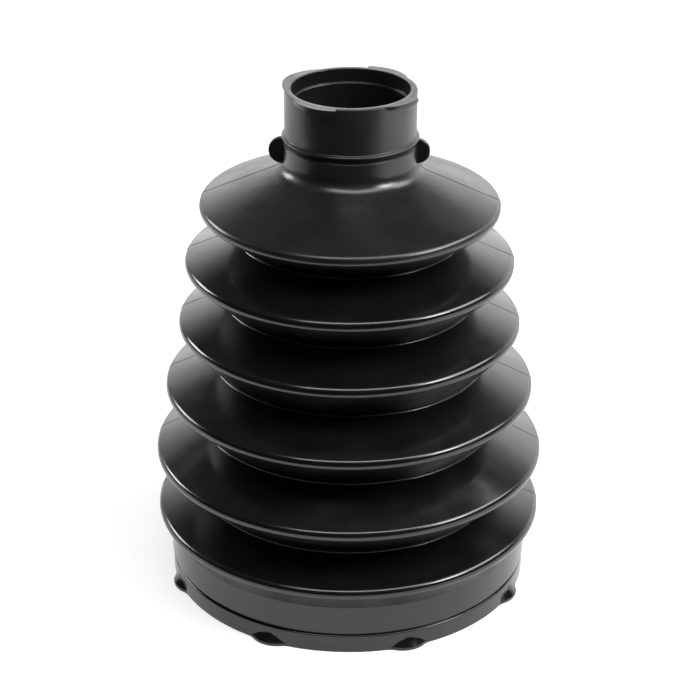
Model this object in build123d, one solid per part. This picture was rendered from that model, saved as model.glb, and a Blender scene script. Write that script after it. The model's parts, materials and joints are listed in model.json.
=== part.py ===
from build123d import *
import os

# Bellows boot for a drive-shaft joint: one moulded piece of thermoplastic rubber.
# Millimetres, +Z up. The origin is on the boot's axis, in the face of the large end
# that the boot stands on. Radii are measured from the axis, heights from that face,
# and azimuths in degrees from +X towards +Y.

# Folds, from the large end to the neck
CREST_RADII = (43.1, 43.2, 40.6, 37.4, 35.7, 32.3)
ROOT_RADII = (33.6, 32.4, 30.0, 27.2, 24.3)
CREST_TO_ROOT = (4.8, 6.5, 5.9, 5.4, 5.7)
ROOT_TO_CREST = (9.6, 9.1, 9.1, 8.8, 7.2)
CREST_LAND = 1.4
ROOT_LAND = 1.2
WALL = 1.1

# Large end: a collar that a band clamps onto the joint's housing
JOINT_BORE_RADIUS = 37.5
JOINT_BORE_LENGTH = 11.5
RIM_WALL = 2.7
RIM_HEIGHT = 4.2
GROOVE_WIDTH = 0.8
GROOVE_WALL = 2.1
BAND_SEAT_WALL = 2.9
BAND_SEAT_WIDTH = 6.4
SEAT_TO_FIRST_CREST = 4.7

# Lobes: thin round feet that lean out of the rim in a scoop, to a lip
LOBE_COUNT = 8
LOBE_PHASE = 19.5
LOBE_REACH = 1.35
LOBE_RADIUS = 6.0
LOBE_BLEND = 4.0
LOBE_LIP = 0.75
LOBE_HEIGHT = 3.1

# Neck: a collar that a small band clamps onto the shaft
SHAFT_BORE_RADIUS = 12.1
SHAFT_BORE_LENGTH = 10.9
SHAFT_BORE_LEAD = 1.0
SHOULDER_RISE = 8.6
NECK_WALL = 2.4
NECK_ROUND = 3.5
NECK_HEIGHT = 5.4
BEAD_WALL = 2.8
BEAD_HEIGHT = 1.8
BEAD_UNDERCUT = 0.35
BEAD_BEVEL = 0.25
NECK_SEAT_WALL = 1.9
NECK_SEAT_WIDTH = 9.2
MOUTH_LEDGE = 0.5
MOUTH_DEPTH = 3.0

# Lugs: four short lips at the mouth that keep the small band on its seat,
# each with the azimuths of one end, its furthest reach and the other end, and its roundness
LUGS = ((-147, -118, -102, 9.0), (-53, -30, -24, 9.0), (31, 60, 75, 9.0), (109, 149, 155, 11.0))
LUG_REACH = 1.4
LUG_HEIGHT = 0.8

# Ears: two half-round tabs beside the bead, in the plane where the mould parts
PARTING_AZIMUTH = -2.5
EAR_REACHES = (2.4, 2.9)
EAR_RADII = (2.7, 2.9)
EAR_DROPS = (1.7, 2.1)
EAR_THICKNESS = 1.4

# Radii and heights that follow from the sizes above
RIM_RADIUS = JOINT_BORE_RADIUS + RIM_WALL
BAND_SEAT_RADIUS = JOINT_BORE_RADIUS + BAND_SEAT_WALL
NECK_RADIUS = SHAFT_BORE_RADIUS + NECK_WALL
NECK_SEAT_RADIUS = SHAFT_BORE_RADIUS + NECK_SEAT_WALL
MOUTH_RADIUS = SHAFT_BORE_RADIUS + MOUTH_LEDGE
SEAT_BASE = RIM_HEIGHT + GROOVE_WIDTH
SEAT_TOP = SEAT_BASE + BAND_SEAT_WIDTH
FIRST_CREST = SEAT_TOP + SEAT_TO_FIRST_CREST
LAST_CREST = FIRST_CREST + sum(CREST_TO_ROOT) + sum(ROOT_TO_CREST)
NECK_START = LAST_CREST + SHOULDER_RISE
BEAD_BASE = NECK_START + NECK_HEIGHT
NECK_SEAT_BASE = BEAD_BASE + BEAD_HEIGHT
LUG_BASE = NECK_SEAT_BASE + NECK_SEAT_WIDTH
BOOT_HEIGHT = LUG_BASE + LUG_HEIGHT


def folds():
    """Both ends of the land of every crest and root in turn, from the large end up."""
    height = FIRST_CREST
    lands = [land(CREST_RADII[0], height, CREST_LAND)]
    for i, root_radius in enumerate(ROOT_RADII):
        height += CREST_TO_ROOT[i]
        lands.append(land(root_radius, height, ROOT_LAND))
        height += ROOT_TO_CREST[i]
        lands.append(land(CREST_RADII[i + 1], height, CREST_LAND))
    return lands


def land(radius, height, width):
    """The two ends of a short upright stretch of the outer skin."""
    return Vector(radius, height - width / 2), Vector(radius, height + width / 2)


def outward(low, high):
    """The outward normal of the stretch of skin that runs up from one point to another."""
    run = (high - low).normalized()
    return Vector(run.Y, -run.X)


def under(p, n, q, m):
    """Where two stretches of the inner skin meet, a wall's thickness inside the outer skin.

    p and q are points of the outer skin on the two stretches, n and m are its normals there.
    """
    a, b = p.dot(n) - WALL, q.dot(m) - WALL
    scale = n.X * m.Y - n.Y * m.X
    return Vector((a * m.Y - b * n.Y) / scale, (b * n.X - a * m.X) / scale)


def inner_corners(seat_end, lands, neck_start):
    """The inner skin's corners: one behind each crest's land, two behind each root's."""
    upright = Vector(1, 0)
    tops = [seat_end] + [high for low, high in lands]
    bottoms = [low for low, high in lands] + [neck_start]
    normals = [outward(*flank) for flank in zip(tops, bottoms)]
    corners = []
    for i, (low, high) in enumerate(lands):
        below, above = normals[i], normals[i + 1]
        if i % 2:
            corners += [under(low, below, low, upright), under(high, upright, high, above)]
        else:
            corners.append(under(low, below, high, above))
    return corners + [under(neck_start, normals[-1], neck_start, upright)]


def foot_corners():
    """The large end's corners, from the bore round the rim to the band's seat."""
    groove_radius = JOINT_BORE_RADIUS + GROOVE_WALL
    return [
        (JOINT_BORE_RADIUS, JOINT_BORE_LENGTH),
        (JOINT_BORE_RADIUS, 0),
        (RIM_RADIUS, 0),
        (RIM_RADIUS, RIM_HEIGHT),
        (groove_radius, RIM_HEIGHT),
        (groove_radius, SEAT_BASE),
        (BAND_SEAT_RADIUS, SEAT_BASE),
    ]


def neck_corners():
    """The small end's corners, from the neck over the bead and the mouth to the bore."""
    mouth_base = BOOT_HEIGHT - MOUTH_DEPTH
    bore_base = mouth_base - SHAFT_BORE_LENGTH
    return [
        (NECK_RADIUS, BEAD_BASE),
        (NECK_RADIUS - BEAD_UNDERCUT, BEAD_BASE + BEAD_UNDERCUT),
        (SHAFT_BORE_RADIUS + BEAD_WALL, NECK_SEAT_BASE - BEAD_BEVEL),
        (NECK_SEAT_RADIUS, NECK_SEAT_BASE),
        (NECK_SEAT_RADIUS, BOOT_HEIGHT),
        (MOUTH_RADIUS, BOOT_HEIGHT),
        (MOUTH_RADIUS, mouth_base),
        (SHAFT_BORE_RADIUS, mouth_base),
        (SHAFT_BORE_RADIUS, bore_base),
        (NECK_RADIUS - WALL, bore_base - SHAFT_BORE_LEAD),
    ]


def section():
    """Half of the boot's section, on the XZ plane."""
    seat_end = Vector(BAND_SEAT_RADIUS, SEAT_TOP)
    neck_start = Vector(NECK_RADIUS, NECK_START)
    lands = folds()
    inner = inner_corners(seat_end, lands, neck_start)
    outer = [seat_end] + [point for pair in lands for point in pair] + [neck_start]
    corners = outer + neck_corners() + inner[::-1] + foot_corners()
    outline = make_face(Polyline(*corners, close=True))
    return Plane.XZ * fillet(outline.vertices().sort_by_distance(neck_start)[0], NECK_ROUND)


def at_azimuth(azimuth, shape):
    """A shape made on the +X side, turned about the boot's axis."""
    return Rot(0, 0, azimuth) * shape


def lobe_azimuths():
    """Where the lobes are, evenly round the rim."""
    return [LOBE_PHASE + i * 360 / LOBE_COUNT for i in range(LOBE_COUNT)]


def lobe_centre():
    """How far a lobe's own axis is from the boot's."""
    return RIM_RADIUS + LOBE_REACH - LOBE_RADIUS


def inside_rim():
    """A radius in the middle of the rim's wall, from which the lobes grow."""
    return (JOINT_BORE_RADIUS + RIM_RADIUS) / 2


def lobe_lips():
    """The lobes' flat lips: one ring, whose outline runs smoothly from rim to lobe."""
    disc = Pos(lobe_centre(), 0) * Circle(LOBE_RADIUS)
    outline = Circle(RIM_RADIUS) + [at_azimuth(a, disc) for a in lobe_azimuths()]
    outline = fillet(outline.vertices(), LOBE_BLEND)
    return extrude(outline - Circle(inside_rim()), LOBE_LIP)


def lobe_scoop():
    """The scoop above one lobe's lip: it widens like a bell, round the lobe's own axis."""
    throat = LOBE_RADIUS - LOBE_REACH
    height = LOBE_HEIGHT - LOBE_LIP
    bell = Pos(lobe_centre(), 0, LOBE_LIP + height / 2) * Cone(LOBE_RADIUS, throat, height)
    return bell - Cylinder(inside_rim(), 3 * LOBE_HEIGHT)


def lug(start, furthest, end, radius):
    """One lip at the mouth: a crescent of a smaller circle, cut off at its ends."""
    disc = Pos(NECK_SEAT_RADIUS + LUG_REACH - radius, 0) * Circle(radius)
    crescent = at_azimuth(furthest, disc) - Circle((MOUTH_RADIUS + NECK_SEAT_RADIUS) / 2)
    arc = CenterArc((0, 0), 2 * NECK_SEAT_RADIUS, start, end - start)
    wedge = make_face(Wire([arc, Line(arc @ 1, (0, 0)), Line((0, 0), arc @ 0)]))
    return Pos(0, 0, LUG_BASE) * extrude(crescent & wedge, LUG_HEIGHT)


def ear(reach, radius, drop):
    """One ear: the outer part of a round tab that stands in the XZ plane."""
    tab = extrude(Plane.XZ * Circle(radius), EAR_THICKNESS / 2, both=True)
    tab = Pos(NECK_RADIUS + reach - radius, 0, BEAD_BASE - drop) * tab
    return split(tab, Plane.YZ.offset(NECK_RADIUS - WALL / 2), keep=Keep.TOP)


def boot():
    """The whole boot, one solid."""
    tube = revolve(section(), Axis.Z)
    scoops = [at_azimuth(a, lobe_scoop()) for a in lobe_azimuths()]
    lugs = [lug(*sizes) for sizes in LUGS]
    tabs = [ear(*sizes) for sizes in zip(EAR_REACHES, EAR_RADII, EAR_DROPS)]
    ears = [at_azimuth(PARTING_AZIMUTH + 180 * i, tab) for i, tab in enumerate(tabs)]
    return tube + lobe_lips() + scoops + lugs + ears


os.makedirs("parts", exist_ok=True)
export_step(boot(), "parts/bellows_boot.step")
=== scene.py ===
# %% [markdown]
# # A bellows boot of glossy black rubber
#
# The boot seals the joint of a drive shaft. It is one moulded piece: a wide collar at the
# foot, six folds that get smaller upwards, and a narrow neck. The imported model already
# holds its real size, so this lesson models the finer skin that is seen: round folds,
# softened edges, the lobes, the lugs, the two ears and the fine line where the mould parted.

from collections import namedtuple
import json
import math

import bpy
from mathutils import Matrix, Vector


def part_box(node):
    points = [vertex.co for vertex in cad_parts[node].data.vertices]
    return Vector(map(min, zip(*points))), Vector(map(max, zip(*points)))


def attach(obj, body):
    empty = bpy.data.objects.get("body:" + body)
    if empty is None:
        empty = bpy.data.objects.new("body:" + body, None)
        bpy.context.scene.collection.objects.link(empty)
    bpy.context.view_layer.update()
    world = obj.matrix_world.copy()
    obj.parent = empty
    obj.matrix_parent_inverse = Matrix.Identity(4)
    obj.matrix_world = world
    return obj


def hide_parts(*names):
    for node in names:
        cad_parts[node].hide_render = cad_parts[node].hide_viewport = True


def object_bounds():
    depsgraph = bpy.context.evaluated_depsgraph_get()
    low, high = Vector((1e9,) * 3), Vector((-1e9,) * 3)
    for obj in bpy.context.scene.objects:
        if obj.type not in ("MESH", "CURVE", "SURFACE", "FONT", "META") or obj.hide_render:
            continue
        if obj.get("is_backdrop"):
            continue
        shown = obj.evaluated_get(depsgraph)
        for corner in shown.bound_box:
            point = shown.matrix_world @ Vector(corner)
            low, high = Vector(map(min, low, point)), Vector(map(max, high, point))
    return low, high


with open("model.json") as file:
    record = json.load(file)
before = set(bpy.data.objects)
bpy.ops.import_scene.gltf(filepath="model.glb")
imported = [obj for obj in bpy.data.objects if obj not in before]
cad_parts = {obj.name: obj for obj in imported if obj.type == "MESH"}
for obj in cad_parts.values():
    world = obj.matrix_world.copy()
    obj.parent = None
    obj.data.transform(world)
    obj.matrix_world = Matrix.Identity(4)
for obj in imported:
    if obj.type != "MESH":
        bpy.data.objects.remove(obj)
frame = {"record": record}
cad_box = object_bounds()
MM = 0.001
mounts = {mount["name"]: mount["dims"] for mount in frame["record"]["mounts"] if mount["dims"]}
BOOT_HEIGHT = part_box("bellows_boot")[1].z / MM
print(f"boot {BOOT_HEIGHT:.1f} mm tall, mounts {sorted(mounts)}")

# %% [markdown]
# ## The camera
#
# A long lens from a little above flattens the folds into the stacked rings of a catalogue
# picture. Its place and tilt are set first, because the lights are judged through it. The
# camera leans by a third of a degree, which is why its turns are applied as roll, then tilt.

# %% Camera
CAMERA_PLACE = (0.19, -417.07, 257.65)
CAMERA_TILT = 26.14
CAMERA_ROLL = 0.369
LENS_PER_FRAME = 2095 / 700
SENSOR = 36.0


def add_camera():
    """The camera, which looks along +Y and down at the boot."""
    data = bpy.data.cameras.new("camera")
    data.sensor_width = SENSOR
    data.lens = LENS_PER_FRAME * SENSOR
    camera = bpy.data.objects.new("camera", data)
    bpy.context.scene.collection.objects.link(camera)
    camera.location = Vector(CAMERA_PLACE) * MM
    camera.rotation_mode = "ZYX"
    camera.rotation_euler = (math.radians(90 - CAMERA_TILT), 0, math.radians(CAMERA_ROLL))
    return camera


bpy.context.scene.camera = add_camera()
print(f"lens {LENS_PER_FRAME * SENSOR:.1f} mm")

# %% [markdown]
# ## A belt round a row of pins
#
# A turned shape starts as half of its section. Bevelling the corners of such sharp folds
# would squash their rounds into ellipses, so the section is laid out like a belt round a
# row of pins. Each bend is a pin, with a size above zero where the belt turns round the
# outside of the rubber, below zero where it turns into a fold, and zero at a sharp corner.
# A belt leaves each pin along the tangent that it shares with the next one.

# %% Belt
Bend = namedtuple("Bend", "x y size")
FINE_STEP = math.radians(11)
COARSE_STEP = math.radians(30)
SMALL_BEND = 0.6
LONGEST_STEP = 1.0


def heading(a, b):
    """The direction of the belt's straight run from bend a to bend b."""
    run = Vector((b.x - a.x, b.y - a.y))
    slack = (a.size - b.size) / run.length
    return math.atan2(run.y, run.x) + math.asin(max(-1.0, min(1.0, slack)))


def beside(bend, direction):
    """Where a belt that runs in this direction touches the bend."""
    out = Vector((math.sin(direction), -math.cos(direction)))
    return Vector((bend.x, bend.y)) + bend.size * out


def turn_at(bend, before, after):
    """How far the belt turns at a bend, and the number of steps that draw it round."""
    if bend.size > 0:
        sweep = (after - before) % math.tau
    else:
        sweep = -((before - after) % math.tau)
    angle_step = COARSE_STEP if abs(bend.size) < SMALL_BEND else FINE_STEP
    step = min(angle_step, LONGEST_STEP / abs(bend.size))
    return sweep, max(2, math.ceil(abs(sweep) / step))


print("a round is drawn in steps of", round(math.degrees(FINE_STEP)), "degrees")

# %% [markdown]
# ## A pen made of two operators
#
# The belt is drawn with a pen: from a single vertex, extrude makes a straight run and spin
# makes a true arc about a pin. Sections stand in the plane of X and Z, to be spun round
# the boot, and plans lie in the plane of X and Y, to be extruded upwards.

# %% Pen
WELD = 0.001 * MM
SECTION_AXIS = (0, 1, 0)
PLAN_AXIS = (0, 0, -1)


def upright(point):
    """A place in a section, which stands in the plane of X and Z."""
    return Vector((point[0], 0, point[1])) * MM


def flat(point):
    """A place in a plan, which lies in the plane of X and Y."""
    return Vector((point[0], point[1], 0)) * MM


def start_at(name, place):
    """A new mesh of one vertex, selected in edit mode."""
    bpy.ops.object.select_all(action="DESELECT")
    bpy.ops.mesh.primitive_plane_add(size=MM)
    piece = bpy.context.object
    piece.name = name
    bpy.ops.object.mode_set(mode="EDIT")
    bpy.ops.mesh.select_mode(type="VERT")
    bpy.ops.mesh.merge(type="CENTER")
    bpy.ops.transform.translate(value=place)
    return piece


def draw_belt(name, bends, plane, axis):
    """Draws a closed outline round the bends, and stays in edit mode with all of it selected."""
    runs = [heading(bends[i - 1], bend) for i, bend in enumerate(bends)]
    piece = start_at(name, plane(beside(bends[0], runs[0])))
    for i, bend in enumerate(bends):
        onward = (i + 1) % len(bends)
        if bend.size:
            sweep, steps = turn_at(bend, runs[i], runs[onward])
            centre = plane((bend.x, bend.y))
            bpy.ops.mesh.spin(steps=steps, angle=sweep, center=centre, axis=axis)
        run = plane(beside(bends[onward], runs[onward])) - plane(beside(bend, runs[onward]))
        bpy.ops.mesh.extrude_region_move(TRANSFORM_OT_translate={"value": run})
    bpy.ops.mesh.select_all(action="SELECT")
    bpy.ops.mesh.remove_doubles(threshold=WELD)
    return piece


print("points closer than", round(WELD / MM, 3), "mm are welded")

# %% [markdown]
# ## The folds
#
# The wall is 1.1 mm thick all through the folds, so the inner skin is the same row of pins:
# seen from inside, each crest's round is smaller by the wall and each root's is larger.
# The crests are round and catch the light as a band. The roots are nearly sharp.

# %% Folds
WALL = 1.1
CREST_ROUND = 1.4
ROOT_ROUND = 0.35
CRESTS = ((43.1, 16.0), (43.14, 30.4), (40.65, 46.0), (37.4, 61.0), (35.7, 75.2), (32.3, 88.1))
ROOTS = ((33.6, 21.1), (32.4, 37.3), (30.0, 52.3), (27.25, 66.8), (24.3, 81.3))
NECK_ROUND = Bend(17.7, 99.1, -3.5)


def crest_bends():
    """The pins that the outer skin turns round at its crests."""
    return [Bend(r - CREST_ROUND, z, CREST_ROUND) for r, z in CRESTS]


def root_bends():
    """The pins that the outer skin turns round at its roots."""
    return [Bend(r + ROOT_ROUND, z, -ROOT_ROUND) for r, z in ROOTS]


def fold_bends():
    """Crests and roots in turn, from the foot to the neck."""
    return sorted(crest_bends() + root_bends() + [NECK_ROUND], key=lambda bend: bend.y)


def inner(bend):
    """The same pin as the inner skin meets it, going the other way."""
    return Bend(bend.x, bend.y, -(bend.size - WALL))


print(f"{len(CRESTS)} folds between radii {CRESTS[0][0]} and {CRESTS[-1][0]} mm")

# %% [markdown]
# ## The collar at the foot
#
# A band clamps the foot onto the joint, so the collar is thicker than the folds: a plain
# rim, a narrow groove and the band's seat. The mounts in the frame give the radii that
# other parts meet. No edge of moulded rubber is sharp, so each corner is a small pin.

# %% Foot
SOFT = 0.25
RIM_ROUND = 0.4
NOOK = 0.12
JOINT_BORE = mounts["joint_bore"]["r_mm"]
JOINT_BORE_TOP = mounts["joint_bore"]["length_mm"]
BAND_SEAT = mounts["large_band_seat"]["r_mm"]
RIM, RIM_TOP = 40.2, 4.2
GROOVE, GROOVE_TOP = 39.6, 5.0
SEAT_TOP = GROOVE_TOP + mounts["large_band_seat"]["length_mm"]

FOOT = [
    Bend(RIM - SOFT, SOFT, SOFT),
    Bend(RIM - RIM_ROUND, RIM_TOP - RIM_ROUND, RIM_ROUND),
    Bend(GROOVE + NOOK, RIM_TOP + NOOK, -NOOK),
    Bend(GROOVE + NOOK, GROOVE_TOP - NOOK, -NOOK),
    Bend(BAND_SEAT - SOFT, GROOVE_TOP + SOFT, SOFT),
    Bend(BAND_SEAT + NOOK, SEAT_TOP, -NOOK),
]
JOINT_BORE_BENDS = [
    Bend(JOINT_BORE + SOFT, JOINT_BORE_TOP, SOFT),
    Bend(JOINT_BORE + SOFT, SOFT, SOFT),
]
print(f"the large band seats at radius {BAND_SEAT} mm")

# %% [markdown]
# ## The neck
#
# A smaller band clamps the neck onto the shaft. Under its seat runs a bead, cut in below so
# that it throws a dark line, and the mouth has a ledge inside, where the bore begins.

# %% Neck
SHAFT_BORE = mounts["shaft_bore"]["r_mm"]
NECK_SEAT = mounts["small_band_seat"]["r_mm"]
BEAD_FOOT, BEAD_FOOT_HEIGHT = 14.2, 102.1
UNDERCUT = 0.35
BEAD, BEAD_TOP, BEAD_ROUND = 14.6, 103.9, 0.35
MOUTH, MOUTH_FLOOR = 12.6, BOOT_HEIGHT - 3.0
BORE_END = MOUTH_FLOOR - mounts["shaft_bore"]["length_mm"]

NECK = [
    Bend(BEAD_FOOT - NOOK, BEAD_FOOT_HEIGHT - NOOK, NOOK),
    Bend(BEAD_FOOT - UNDERCUT + NOOK, BEAD_FOOT_HEIGHT + NOOK, -NOOK),
    Bend(BEAD - BEAD_ROUND, BEAD_TOP - BEAD_ROUND, BEAD_ROUND),
    Bend(NECK_SEAT + BEAD_ROUND, BEAD_TOP + BEAD_ROUND, -BEAD_ROUND),
    Bend(NECK_SEAT - SOFT, BOOT_HEIGHT - SOFT, SOFT),
]
MOUTH_TO_BORE = [
    Bend(MOUTH + NOOK, BOOT_HEIGHT - NOOK, NOOK),
    Bend(MOUTH - NOOK, MOUTH_FLOOR + NOOK, -NOOK),
    Bend(SHAFT_BORE + SOFT, MOUTH_FLOOR - SOFT, SOFT),
    Bend(SHAFT_BORE + SOFT, BORE_END, SOFT),
]
print(f"the small band seats at radius {NECK_SEAT} mm")

# %% [markdown]
# ## Spinning the skin
#
# The whole belt runs up the outer skin, over the mouth and down the inner one. One full
# turn of the spin operator makes the tube. The last ring meets the first, so their doubles
# are merged, and only then are the normals recalculated: a closed tube whose seam is still
# open could come out facing inwards.

# %% Spin
TURN_STEPS = 256
Z_AXIS = (0, 0, 1)


def close_up(piece):
    """Merges doubles, points all faces outwards and goes back to object mode."""
    bpy.ops.mesh.select_all(action="SELECT")
    bpy.ops.mesh.remove_doubles(threshold=WELD)
    bpy.ops.mesh.normals_make_consistent(inside=False)
    bpy.ops.object.mode_set(mode="OBJECT")
    print(f"{piece.name}: {len(piece.data.polygons)} faces")
    return piece


outer_skin = FOOT + fold_bends() + NECK
inner_skin = [inner(bend) for bend in reversed(fold_bends())]
section = outer_skin + MOUTH_TO_BORE + inner_skin + JOINT_BORE_BENDS
boot = draw_belt("moulded_boot", section, upright, SECTION_AXIS)
bpy.ops.mesh.spin(steps=TURN_STEPS, angle=math.tau, center=(0, 0, 0), axis=Z_AXIS)
close_up(boot)
print(f"the section turns at {len(section)} bends")

# %% [markdown]
# ## The plan and section of a lobe
#
# Eight thin round lobes stick out of the rim, each under a scoop. A lobe is two simple
# things: a flat lip, drawn in plan so that its outline runs smoothly out of the rim, and a
# bell, which leans out of the rim in a round and runs down to the lip.

# %% Lobe outlines
LOBE_RADIUS, LOBE_REACH, LOBE_BLEND = 6.0, 1.35, 4.0
LIP_HEIGHT, SCOOP_HEIGHT, SCOOP_ROUND = 0.75, 3.65, 3.5
SUNK = 0.04
LOBE_AXIS = RIM + LOBE_REACH - LOBE_RADIUS


def lobe_outline():
    """The bends of the lip: a disc of the rim, the lobe, and a blend on each side of it."""
    rim = RIM - SUNK
    far, near = rim + LOBE_BLEND, LOBE_RADIUS + LOBE_BLEND
    angle = math.acos((LOBE_AXIS**2 + far**2 - near**2) / (2 * LOBE_AXIS * far))
    x, y = far * math.cos(angle), far * math.sin(angle)
    return [
        Bend(0, 0, rim),
        Bend(x, -y, -LOBE_BLEND),
        Bend(LOBE_AXIS, 0, LOBE_RADIUS),
        Bend(x, y, -LOBE_BLEND),
    ]


def bell_section():
    """The bends of the bell: it leans out of the rim in a round and runs down to the lip."""
    throat = LOBE_RADIUS - LOBE_REACH - SUNK
    edge = LOBE_RADIUS - NOOK
    sunk = LIP_HEIGHT - SOFT
    return [
        Bend(0, sunk, 0),
        Bend(edge, sunk, 0),
        Bend(edge, LIP_HEIGHT, 0),
        Bend(throat + SCOOP_ROUND, SCOOP_HEIGHT, -SCOOP_ROUND),
        Bend(throat, SCOOP_HEIGHT + SOFT, 0),
        Bend(0, SCOOP_HEIGHT + SOFT, 0),
    ]


print(f"a lobe reaches {LOBE_REACH} mm out of the rim")

# %% [markdown]
# ## Tools for small solids
#
# Four helpers turn outlines into details. One extrudes a plan, one cuts off what would
# reach into a bore, one bevels the edges that lie at given heights, and one unites two
# solids. An exact union leaves a clean line where they meet, as a mould does.

# %% Tools
def raise_plan(height):
    """Fills the selected outline and extrudes it upwards."""
    bpy.ops.mesh.edge_face_add()
    bpy.ops.mesh.extrude_region_move(TRANSFORM_OT_translate={"value": (0, 0, height * MM)})


def cut_behind(x):
    """Cuts off all that lies behind a plane across X, and closes the cut."""
    bpy.ops.mesh.select_all(action="SELECT")
    bpy.ops.mesh.bisect(
        plane_co=(x * MM, 0, 0), plane_no=(1, 0, 0), use_fill=True, clear_inner=True
    )


def soften_edges(piece, heights, inside, width):
    """Bevels the edges that lie at the given heights and stand clear of the radius inside."""
    bpy.ops.object.mode_set(mode="EDIT")
    bpy.ops.mesh.select_mode(type="EDGE")
    bpy.ops.mesh.select_all(action="DESELECT")
    bpy.ops.object.mode_set(mode="OBJECT")
    places = [vertex.co / MM for vertex in piece.data.vertices]
    for edge in piece.data.edges:
        ends = [places[i] for i in edge.vertices]
        level = any(all(abs(end.z - height) < NOOK / 4 for end in ends) for height in heights)
        edge.select = level and all(math.hypot(end.x, end.y) > inside for end in ends)
    bpy.ops.object.mode_set(mode="EDIT")
    bpy.ops.mesh.bevel(offset=width * MM, segments=2, affect="EDGES")
    bpy.ops.object.mode_set(mode="OBJECT")


def unite(piece, added_solid):
    """Joins a solid to a piece with an exact union, and removes the solid's own object."""
    union = piece.modifiers.new("union", "BOOLEAN")
    union.operation = "UNION"
    union.solver = "EXACT"
    union.object = added_solid
    bpy.ops.object.select_all(action="DESELECT")
    bpy.context.view_layer.objects.active = piece
    bpy.ops.object.modifier_apply(modifier=union.name)
    bpy.data.objects.remove(added_solid)
    print(f"{piece.name}: {len(piece.data.polygons)} faces after a union")


print("edges within", NOOK / 4, "mm of a height count as level with it")

# %% [markdown]
# ## One lobe
#
# The bell is spun about the lobe's own axis, and both solids are cut by a plane in the
# middle of the rim's wall. Lip and bell are united first, so that one clean detail is
# copied round the rim.

# %% Lobe
LOBE_CUT = (JOINT_BORE + RIM) / 2 - 0.5
BELL_STEPS = 96

lobe = draw_belt("lobe", lobe_outline(), flat, PLAN_AXIS)
raise_plan(LIP_HEIGHT)
cut_behind(LOBE_CUT)
close_up(lobe)
soften_edges(lobe, (0, LIP_HEIGHT), RIM - SUNK - NOOK, NOOK)
bell = draw_belt("bell", bell_section(), upright, SECTION_AXIS)
bpy.ops.mesh.spin(steps=BELL_STEPS, angle=math.tau, center=(0, 0, 0), axis=Z_AXIS)
bpy.ops.mesh.select_all(action="SELECT")
bpy.ops.transform.translate(value=(LOBE_AXIS * MM, 0, 0))
cut_behind(LOBE_CUT)
close_up(bell)
unite(lobe, bell)

# %% [markdown]
# ## Copies round the rim
#
# A copy is a duplicate, turned about the boot's axis. Run without a window, the rotate
# operator turns the other way round, so the helper gives it the angle with its sign changed,
# and names the centre, because the pivot setting is ignored there too.

# %% Place the lobes
LOBE_COUNT, LOBE_PHASE = 8, 19.5


def pick(piece):
    """Makes a piece the only one that is selected, and the active one."""
    bpy.ops.object.select_all(action="DESELECT")
    piece.select_set(True)
    bpy.context.view_layer.objects.active = piece


def turn_about_axis(piece, azimuth):
    """Turns a piece about the boot's axis, and leaves its object unturned."""
    pick(piece)
    bpy.ops.transform.rotate(
        value=-math.radians(azimuth), orient_axis="Z", center_override=(0, 0, 0)
    )
    bpy.ops.object.transform_apply(location=True, rotation=True, scale=True)


def copy_of(piece):
    """A duplicate with its own mesh."""
    pick(piece)
    bpy.ops.object.duplicate()
    return bpy.context.object


details = [lobe] + [copy_of(lobe) for i in range(LOBE_COUNT - 1)]
for i, piece in enumerate(details):
    turn_about_axis(piece, LOBE_PHASE + i * 360 / LOBE_COUNT)
print(f"{len(details)} lobes, the first at {LOBE_PHASE} degrees")

# %% [markdown]
# ## Lugs at the mouth
#
# Four short lips keep the small band on its seat. Each is a crescent of a smaller circle:
# it swells out of the wall, reaches furthest in the middle, and stops at a step on its
# steep side. Drawn in plan, that is an arc of the small circle, a step down, and an arc
# back inside the wall. Each lug has its own start, furthest reach and end, in degrees.

# %% Lugs
LUGS = ((-147, -118, -102), (-60, -30, -24), (31, 60, 75), (116, 149, 179))
LUG_RADIUS, LUG_REACH, LUG_HEIGHT = 9.0, 1.4, 0.8
LUG_ROOT = (MOUTH + NECK_SEAT) / 2
LUG_AXIS = NECK_SEAT + LUG_REACH - LUG_RADIUS


def polar(radius, azimuth):
    """A point of a plan at a radius and an azimuth in degrees."""
    return radius * math.cos(math.radians(azimuth)), radius * math.sin(math.radians(azimuth))


def lug_reach(aside):
    """How far the small circle reaches from the boot's axis, at an angle from its furthest."""
    across = LUG_AXIS * math.sin(math.radians(aside))
    return LUG_AXIS * math.cos(math.radians(aside)) + math.sqrt(LUG_RADIUS**2 - across**2)


def lug_outline(start, furthest, end):
    """The bends of a lug's plan."""
    return [
        Bend(*polar(lug_reach(start - furthest), start), 0),
        Bend(*polar(LUG_AXIS, furthest), LUG_RADIUS),
        Bend(*polar(lug_reach(end - furthest), end), 0),
        Bend(*polar(LUG_ROOT, end), 0),
        Bend(0, 0, -LUG_ROOT),
        Bend(*polar(LUG_ROOT, start), 0),
    ]


for azimuths in LUGS:
    lug = draw_belt("lug", lug_outline(*azimuths), flat, PLAN_AXIS)
    bpy.ops.transform.translate(value=(0, 0, (BOOT_HEIGHT - LUG_HEIGHT) * MM))
    raise_plan(LUG_HEIGHT)
    close_up(lug)
    soften_edges(lug, (BOOT_HEIGHT,), NECK_SEAT, NOOK)
    details.append(lug)

# %% [markdown]
# ## Ears
#
# Two half-round tabs stand beside the bead, in the plane where the mould parts. Each is a
# cylinder on its side, its two rims softened, cut off inside the neck's wall. The left ear
# is a little larger and sits a little lower than the right one.

# %% Ears
PARTING_AZIMUTH = -2.5
EARS = ((0, 16.9, 2.7, 100.4), (180, 17.4, 2.9, 100.0))
EAR_THICKNESS = 1.4
EAR_CUT = 13.9
EAR_VERTICES = 64
LEVEL_NORMAL = 0.9


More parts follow.
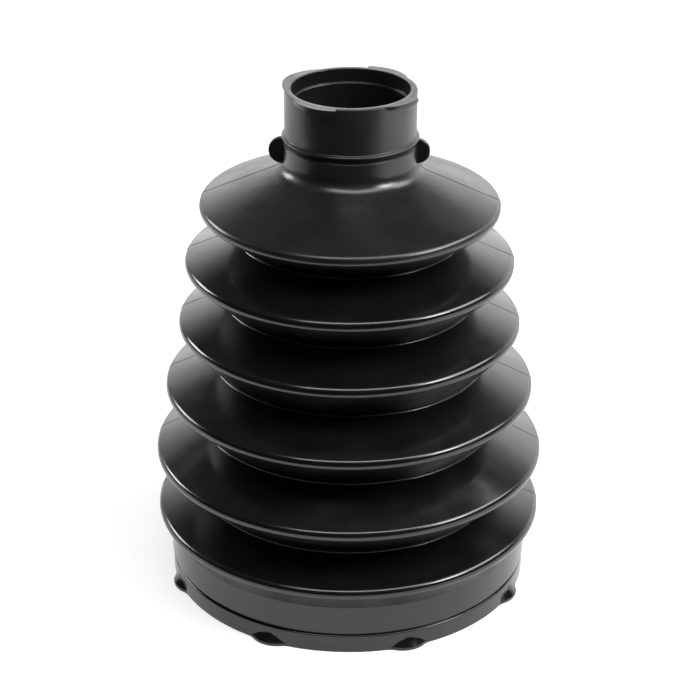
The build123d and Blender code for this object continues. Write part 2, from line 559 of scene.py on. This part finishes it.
def add_ear(reach, radius, height):
    """One ear on the +X side, from a cylinder that lies on its side."""
    bpy.ops.object.select_all(action="DESELECT")
    bpy.ops.mesh.primitive_cylinder_add(
        vertices=EAR_VERTICES,
        radius=radius * MM,
        depth=EAR_THICKNESS * MM,
        location=Vector((reach - radius, 0, height)) * MM,
        rotation=(math.pi / 2, 0, 0),
    )
    ear = bpy.context.object
    ear.name = "ear"
    bpy.ops.object.transform_apply(location=True, rotation=True, scale=True)
    bpy.ops.object.mode_set(mode="EDIT")
    bpy.ops.mesh.select_mode(type="FACE")
    bpy.ops.mesh.select_all(action="DESELECT")
    bpy.ops.object.mode_set(mode="OBJECT")
    for face in ear.data.polygons:
        face.select = abs(face.normal.y) > LEVEL_NORMAL
    bpy.ops.object.mode_set(mode="EDIT")
    bpy.ops.mesh.bevel(offset=SOFT * MM, segments=3, affect="EDGES")
    cut_behind(EAR_CUT)
    return close_up(ear)


for azimuth, *sizes in EARS:
    ear = add_ear(*sizes)
    turn_about_axis(ear, PARTING_AZIMUTH + azimuth)
    details.append(ear)

# %% [markdown]
# ## The mould's parting line
#
# Where the mould's halves met, a hair of rubber stands out of the folds on both sides. It
# is the outer skin's own outline, let out by a twentieth of a millimetre: the same pins,
# each a little larger, drawn there and back, and extruded to a fifth of a millimetre. The
# two halves had slipped a little, so the lines aren't quite opposite each other.

# %% Parting line
FLASH_AZIMUTHS = (-0.7, 174.5)
FLASH_RISE, FLASH_DEPTH, FLASH_WIDTH = 0.05, 0.4, 0.2


def flash_outline():
    """The bends of the parting line's section, out along the skin and back under it."""
    out = [Bend(bend.x, bend.y, bend.size + FLASH_RISE) for bend in fold_bends()]
    back = [Bend(bend.x, bend.y, FLASH_DEPTH - bend.size) for bend in reversed(fold_bends())]
    low = Bend(BAND_SEAT - SOFT, SEAT_TOP, 0)
    high = Bend(BEAD_FOOT - SOFT, BEAD_FOOT_HEIGHT, 0)
    return [low, *out, high, *back]


flashes = []
for azimuth in FLASH_AZIMUTHS:
    flash = draw_belt("flash", flash_outline(), upright, SECTION_AXIS)
    bpy.ops.transform.translate(value=(0, -FLASH_WIDTH / 2 * MM, 0))
    bpy.ops.mesh.edge_face_add()
    bpy.ops.mesh.extrude_region_move(TRANSFORM_OT_translate={"value": (0, FLASH_WIDTH * MM, 0)})
    close_up(flash)
    turn_about_axis(flash, azimuth)
    flashes.append(flash)

# %% [markdown]
# ## One solid
#
# The real boot comes out of its mould in one piece, so everything is united with the skin.
# The long faces of the folds then take part in shading by their area: without weighted
# normals, each flat flank would seem to bend near its round edges.

# %% Unite and smooth
SHARP_ANGLE = math.radians(35)


def joined(pieces):
    """Puts solids that stand apart from each other into one mesh."""
    pick(pieces[0])
    for piece in pieces:
        piece.select_set(True)
    bpy.ops.object.join()
    return pieces[0]


unite(boot, joined(details))
unite(boot, joined(flashes))
pick(boot)
bpy.ops.object.shade_smooth_by_angle(angle=SHARP_ANGLE)
weighted = boot.modifiers.new("weighted", "WEIGHTED_NORMAL")
weighted.keep_sharp = True
bpy.ops.object.modifier_apply(modifier=weighted.name)
print("sharp above", round(math.degrees(SHARP_ANGLE)), "degrees")

# %% [markdown]
# ## Helpers for materials
#
# Every surface here gets its life from soft noise. These helpers add a noise whose spots
# have a size in millimetres, spread a value over a range, and add masks to a value. They
# read Object coordinates, so a pattern sits still on the piece from every side.

# %% Node helpers
def new_node(tree, kind, **inputs):
    """A node with some of its inputs set. Underscores in their names stand for spaces."""
    node = tree.nodes.new(kind)
    for name, value in inputs.items():
        node.inputs[name.replace("_", " ")].default_value = value
    return node


def noise(tree, place, size, detail=2.0):
    """A noise with spots of about this size in mm."""
    node = new_node(tree, "ShaderNodeTexNoise", Scale=1 / (size * MM), Detail=detail)
    tree.links.new(place, node.inputs["Vector"])
    return node.outputs["Fac"]


def mapped(tree, value, low, high, from_low=0.3, from_high=0.7):
    """A value spread over a range. What a noise puts out lies mostly between 0.3 and 0.7."""
    span = {"From_Min": from_low, "From_Max": from_high, "To_Min": low, "To_Max": high}
    node = new_node(tree, "ShaderNodeMapRange", **span)
    tree.links.new(value, node.inputs["Value"])
    return node.outputs["Result"]


def maths(tree, operation, *values):
    """A math node whose inputs are numbers or other nodes' outputs."""
    node = tree.nodes.new("ShaderNodeMath")
    node.operation = operation
    for socket, value in zip(node.inputs, values):
        if isinstance(value, (int, float)):
            socket.default_value = value
        else:
            tree.links.new(value, socket)
    return node.outputs[0]


def along(tree, vector):
    """The X, Y and Z of a vector, by name."""
    parts = tree.nodes.new("ShaderNodeSeparateXYZ")
    tree.links.new(vector, parts.inputs[0])
    return parts.outputs


print("a noise of 5 mm has the scale", round(1 / (5 * MM)))

# %% [markdown]
# ## Where the rubber is glossy, satin or dull
#
# Fresh from a polished mould the rubber is nearly black and shows mostly reflections, but
# not everywhere alike. The folds are glossy. The shoulder and the neck are satin and a
# little greyer, from the crest of the last fold upwards, which height tells. The undersides
# of the folds are dull and carry painted shade, which the normal tells.

# %% Masks
SATIN_FROM, SATIN_TO = 87.2, 88.2
DULL_AND_SHADE_FROM, DULL_AND_SHADE_TO = -0.42, -0.58


def satin_mask(tree, place):
    """One on the shoulder and the neck, nought on the folds."""
    return mapped(tree, along(tree, place)["Z"], 0.0, 1.0, SATIN_FROM * MM, SATIN_TO * MM)


# The undersides' mask makes them rougher and also darkens them with painted shade.
def underside_mask(tree):
    """One where the skin faces well downwards."""
    normal = tree.nodes.new("ShaderNodeNewGeometry").outputs["Normal"]
    return mapped(tree, along(tree, normal)["Z"], 0.0, 1.0, DULL_AND_SHADE_FROM, DULL_AND_SHADE_TO)


print(f"satin from {SATIN_TO} mm up")

# %% [markdown]
# ## Waves and grain
#
# What keeps black rubber from looking like glass is small: a slow waviness that bends the
# reflections, more of it on the neck, and a faint grain. The first bump node's normal is
# handed to the second, so that both are seen.

# %% Waves and grain
WAVE, NECK_WAVE = 0.03, 0.09
WAVE_SIZE = 5.0
NECK_FROM, NECK_TO = 90.0, 98.0
GRAIN, GRAIN_SIZE = 0.002, 0.35


def rubber_normal(tree, place):
    """The normal of the rubber, bent by slow waves and a fine grain."""
    height = along(tree, place)["Z"]
    depth = mapped(tree, height, WAVE * MM, NECK_WAVE * MM, NECK_FROM * MM, NECK_TO * MM)
    waves = new_node(tree, "ShaderNodeBump", Strength=1.0)
    tree.links.new(depth, waves.inputs["Distance"])
    tree.links.new(noise(tree, place, WAVE_SIZE), waves.inputs["Height"])
    grain = new_node(tree, "ShaderNodeBump", Strength=1.0, Distance=GRAIN * MM)
    tree.links.new(noise(tree, place, GRAIN_SIZE), grain.inputs["Height"])
    tree.links.new(waves.outputs["Normal"], grain.inputs["Normal"])
    return grain.outputs["Normal"]


print(f"waves {WAVE} mm deep on the folds, {NECK_WAVE} mm on the neck")

# %% [markdown]
# ## Glossy black rubber
#
# One material carries all of it. Its roughness starts as a gloss that varies in patches,
# and the two masks add to it. The undersides get painted shade, which roughness alone
# can't give: a metal mirrors only in its own colour, so a share of metal under a black base
# takes their mirror away. It is a painter's trick, chosen because exported models keep it.

# %% Rubber
RUBBER_COLOUR = (0.0045, 0.0045, 0.0047, 1)
SATIN_COLOUR = (0.009, 0.009, 0.0094, 1)
RUBBER_IOR = 1.6
GLOSS, PATCH_GLOSS, PATCH_SIZE = 0.13, 0.24, 9.0
SATIN_ROUGHER, DULL_ROUGHER = 0.12, 0.3
UNDERSIDE_SHADE_METAL = 0.85


def rubber_colour(tree, satin):
    """Nearly black, and a little greyer where the rubber is satin."""
    mix = tree.nodes.new("ShaderNodeMix")
    mix.data_type = "RGBA"
    colours = [socket for socket in mix.inputs if socket.type == "RGBA"]
    colours[0].default_value = RUBBER_COLOUR
    colours[1].default_value = SATIN_COLOUR
    tree.links.new(satin, mix.inputs["Factor"])
    return next(socket for socket in mix.outputs if socket.type == "RGBA")


def rubber_material():
    """The boot's one material."""
    material = bpy.data.materials.new("moulded_rubber")
    material.use_nodes = True
    tree = material.node_tree
    shader = tree.nodes["Principled BSDF"]
    shader.inputs["IOR"].default_value = RUBBER_IOR
    place = tree.nodes.new("ShaderNodeTexCoord").outputs["Object"]
    satin, underside = satin_mask(tree, place), underside_mask(tree)
    patches = mapped(tree, noise(tree, place, PATCH_SIZE, detail=4.0), GLOSS, PATCH_GLOSS)
    satin_rough = maths(tree, "MULTIPLY_ADD", satin, SATIN_ROUGHER, patches)
    roughness = maths(tree, "MULTIPLY_ADD", underside, DULL_ROUGHER, satin_rough)
    tree.links.new(roughness, shader.inputs["Roughness"])
    # Painted shade: a share of metal under the black base takes the undersides' reflections
    # away.
    metal = maths(tree, "MULTIPLY", underside, UNDERSIDE_SHADE_METAL)
    tree.links.new(metal, shader.inputs["Metallic"])
    tree.links.new(rubber_colour(tree, satin), shader.inputs["Base Color"])
    tree.links.new(rubber_normal(tree, place), shader.inputs["Normal"])
    return material


boot.data.materials.append(rubber_material())
print("gloss from", GLOSS, "to", PATCH_GLOSS)

# %% [markdown]
# ## The table
#
# Black rubber is a mirror for its room, so the room is built with care. The table is white
# paper with a faint tooth. It keeps the boot's shadow and looks white to the camera and in
# reflections. It ends just in front of the boot, so that the folds mirror dark floor there.

# %% Table
FLOOR_SIZE = 4.0
FLOOR_EDGE, FLOOR_TURN = 0.12, -18.0
FLOOR_COLOUR = (0.68, 0.68, 0.68, 1)
FLOOR_GLOW = 0.6
PAPER_ROUGHNESS = (0.85, 1.0)
PAPER_SPOT, TOOTH_SIZE, TOOTH = 40.0, 1.5, 0.02


def paper_material():
    """White paper that glows for the camera and in reflections."""
    material = bpy.data.materials.new("floor")
    material.use_nodes = True
    tree = material.node_tree
    shader = tree.nodes["Principled BSDF"]
    shader.inputs["Base Color"].default_value = FLOOR_COLOUR
    shader.inputs["Specular IOR Level"].default_value = 0.0
    shader.inputs["Emission Color"].default_value = (1, 1, 1, 1)
    place = tree.nodes.new("ShaderNodeTexCoord").outputs["Object"]
    roughness = mapped(tree, noise(tree, place, PAPER_SPOT), *PAPER_ROUGHNESS)
    tree.links.new(roughness, shader.inputs["Roughness"])
    tooth = new_node(tree, "ShaderNodeBump", Strength=1.0, Distance=TOOTH * MM)
    tree.links.new(noise(tree, place, TOOTH_SIZE, detail=4.0), tooth.inputs["Height"])
    tree.links.new(tooth.outputs["Normal"], shader.inputs["Normal"])
    path = tree.nodes.new("ShaderNodeLightPath").outputs
    seen = maths(tree, "ADD", path["Is Camera Ray"], path["Is Glossy Ray"])
    glow = maths(tree, "MULTIPLY", seen, FLOOR_GLOW)
    tree.links.new(glow, shader.inputs["Emission Strength"])
    return material


def add_floor():
    """A table that ends in front of the boot."""
    bpy.ops.object.select_all(action="DESELECT")
    bpy.ops.mesh.primitive_plane_add(size=FLOOR_SIZE)
    floor = bpy.context.object
    floor.name = "floor"
    floor.rotation_euler = (0, 0, math.radians(FLOOR_TURN))
    middle = Vector((0, FLOOR_SIZE / 2 - FLOOR_EDGE, 0))
    floor.location = floor.rotation_euler.to_matrix() @ middle
    floor.data.materials.append(paper_material())
    floor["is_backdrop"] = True
    return floor


add_floor()
print(f"the table ends {FLOOR_EDGE} m in front of the boot's axis")

# %% [markdown]
# ## The room
#
# The world is the room that the rubber mirrors: a white wall behind the boot, which draws
# the pale edges of the silhouette, a dim ceiling, and darkness behind the camera, which
# leaves the front of each fold black. The camera itself sees plain white.

# %% Room
WALL_DIRECTION = (0.26, 0.97, 0)
WALL_LIGHT, CEILING_LIGHT, GROUND_LIGHT, DARK = 2.1, 0.08, 0.1, 0.03
WALL_EDGES = (0.5, 0.85)
CEILING_EDGES = (0.35, 0.6)
GROUND_EDGES = (-0.4, -0.2)


def mixed(tree, factor, first, second):
    """A value that goes from the first one to a fixed second one."""
    mix = new_node(tree, "ShaderNodeMix", B=second)
    tree.links.new(factor, mix.inputs["Factor"])
    tree.links.new(first, mix.inputs["A"])
    return mix.outputs["Result"]


def add_world():
    """A room with a white wall behind, a dim ceiling and darkness behind the camera."""
    world = bpy.data.worlds.new("room")
    world.use_nodes = True
    bpy.context.scene.world = world
    tree = world.node_tree
    background = tree.nodes["Background"]
    background.inputs["Color"].default_value = (1, 1, 1, 1)
    direction = tree.nodes.new("ShaderNodeTexCoord").outputs["Generated"]
    height = along(tree, direction)["Z"]
    facing = tree.nodes.new("ShaderNodeVectorMath")
    facing.operation = "DOT_PRODUCT"
    facing.inputs[1].default_value = WALL_DIRECTION
    tree.links.new(direction, facing.inputs[0])
    wall = mapped(tree, facing.outputs["Value"], DARK, WALL_LIGHT, *WALL_EDGES)
    ceiling = mapped(tree, height, 0.0, 1.0, *CEILING_EDGES)
    ground = mapped(tree, height, GROUND_LIGHT, 0.0, *GROUND_EDGES)
    room = maths(tree, "ADD", mixed(tree, ceiling, wall, CEILING_LIGHT), ground)
    camera_sees = tree.nodes.new("ShaderNodeLightPath").outputs["Is Camera Ray"]
    tree.links.new(mixed(tree, camera_sees, room, 1.0), background.inputs["Strength"])
    return world


add_world()
print("wall", WALL_LIGHT, "ceiling", CEILING_LIGHT, "dark", DARK)

# %% [markdown]
# ## The lamps
#
# Four soft lamps draw the lines that tell the eye that the rubber is round. The widest one,
# over the front, draws a line along every crest. Those at the sides draw the highlights on
# the shoulder, the neck and the ends of the crests. Each has an azimuth, an elevation, a
# distance, a width, a height and a brightness.

# %% Lamps
MIDDLE = Vector((0, 0, BOOT_HEIGHT / 2 * MM))
LAMPS = {
    "front_top": (-80, 65, 0.8, 0.85, 0.21, 6.4),
    "right": (-5, 41, 0.8, 0.8, 0.27, 6.8),
    "right_spot": (-24, 37, 0.8, 0.24, 0.16, 15.0),
    "left": (151, 20, 0.8, 0.3, 0.2, 11.0),
}


def add_lamp(name, azimuth, elevation, distance, width, height, radiance):
    """A soft rectangular lamp that faces the boot's middle from a direction."""
    data = bpy.data.lights.new(name, "AREA")
    data.shape = "RECTANGLE"
    data.size, data.size_y = width, height
    data.energy = radiance * math.pi * width * height
    lamp = bpy.data.objects.new(name, data)
    bpy.context.scene.collection.objects.link(lamp)
    across = math.cos(math.radians(elevation))
    facing = Vector((*polar(across, azimuth), math.sin(math.radians(elevation))))
    lamp.location = MIDDLE + facing * distance
    lamp.rotation_euler = facing.to_track_quat("Z", "Y").to_euler()
    lamp.visible_camera = False
    print(f"{name}: {data.energy:.2f} W")
    return lamp


for name, sizes in LAMPS.items():
    add_lamp(name, *sizes)
bpy.context.scene.view_settings.view_transform = "Standard"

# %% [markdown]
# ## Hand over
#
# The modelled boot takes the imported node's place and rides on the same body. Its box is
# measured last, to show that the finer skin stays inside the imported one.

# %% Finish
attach(boot, "root")
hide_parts("bellows_boot")
visual_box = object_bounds()
sizes = {
    "cad": [list(corner) for corner in cad_box],
    "visual": [list(corner) for corner in visual_box],
}
print(sizes)
